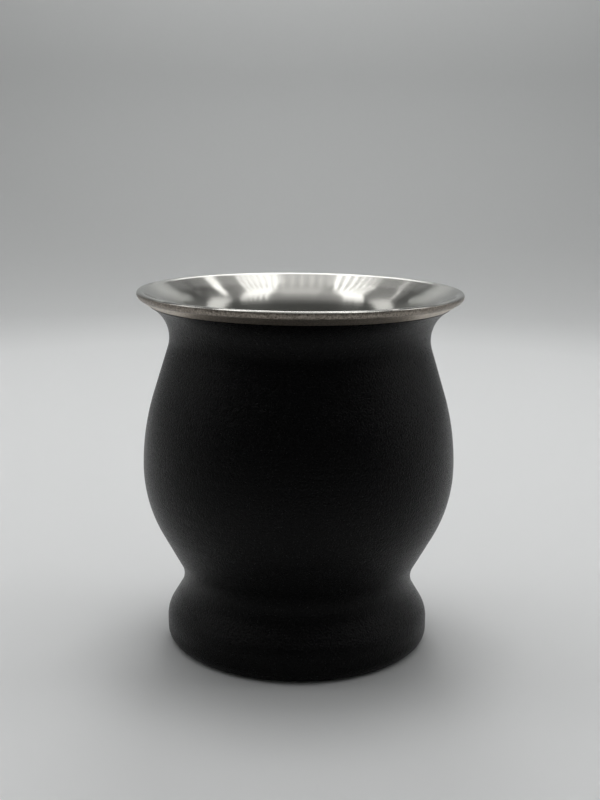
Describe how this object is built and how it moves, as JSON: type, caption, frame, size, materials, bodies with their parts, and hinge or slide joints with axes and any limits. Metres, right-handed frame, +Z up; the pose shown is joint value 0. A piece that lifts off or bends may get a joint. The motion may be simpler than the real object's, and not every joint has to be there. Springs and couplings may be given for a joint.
{
  "type": "double-walled stainless steel mate cup",
  "caption": "Double-walled stainless steel mate cup with a flared polished mouth, round belly, narrow waist and spreading foot, black textured powder coat outside.",
  "frame": {"origin": "centre of the flat ring on which the cup stands, on the floor", "axes": "+Z up along the cup's axis of revolution; the outside is alike from every side"},
  "size_m": [0.082, 0.082, 0.0914],
  "materials": {
    "liner_steel": "bright polished 304 stainless steel with fine turning lines",
    "shell_steel": "satin 304 stainless steel",
    "black_coat": "black polyester powder coat on steel, fine sandy texture, low sheen",
    "plate_steel": "dull pressed 304 stainless steel",
    "solder_glass": "opaque grey-green solder glass",
    "cover_steel": "circular-brushed 304 stainless steel",
    "getter": "sintered grey metal powder",
    "clip_steel": "plain stamped stainless sheet"
  },
  "bodies": {
    "root": {"inner_liner": "liner_steel", "outer_shell": "shell_steel", "powder_coat": "black_coat", "bottom_plate": "plate_steel", "port_seal": "solder_glass", "bottom_cover": "cover_steel", "getter_tablet": "getter", "getter_clip": "clip_steel"}
  },
  "joints": []
}
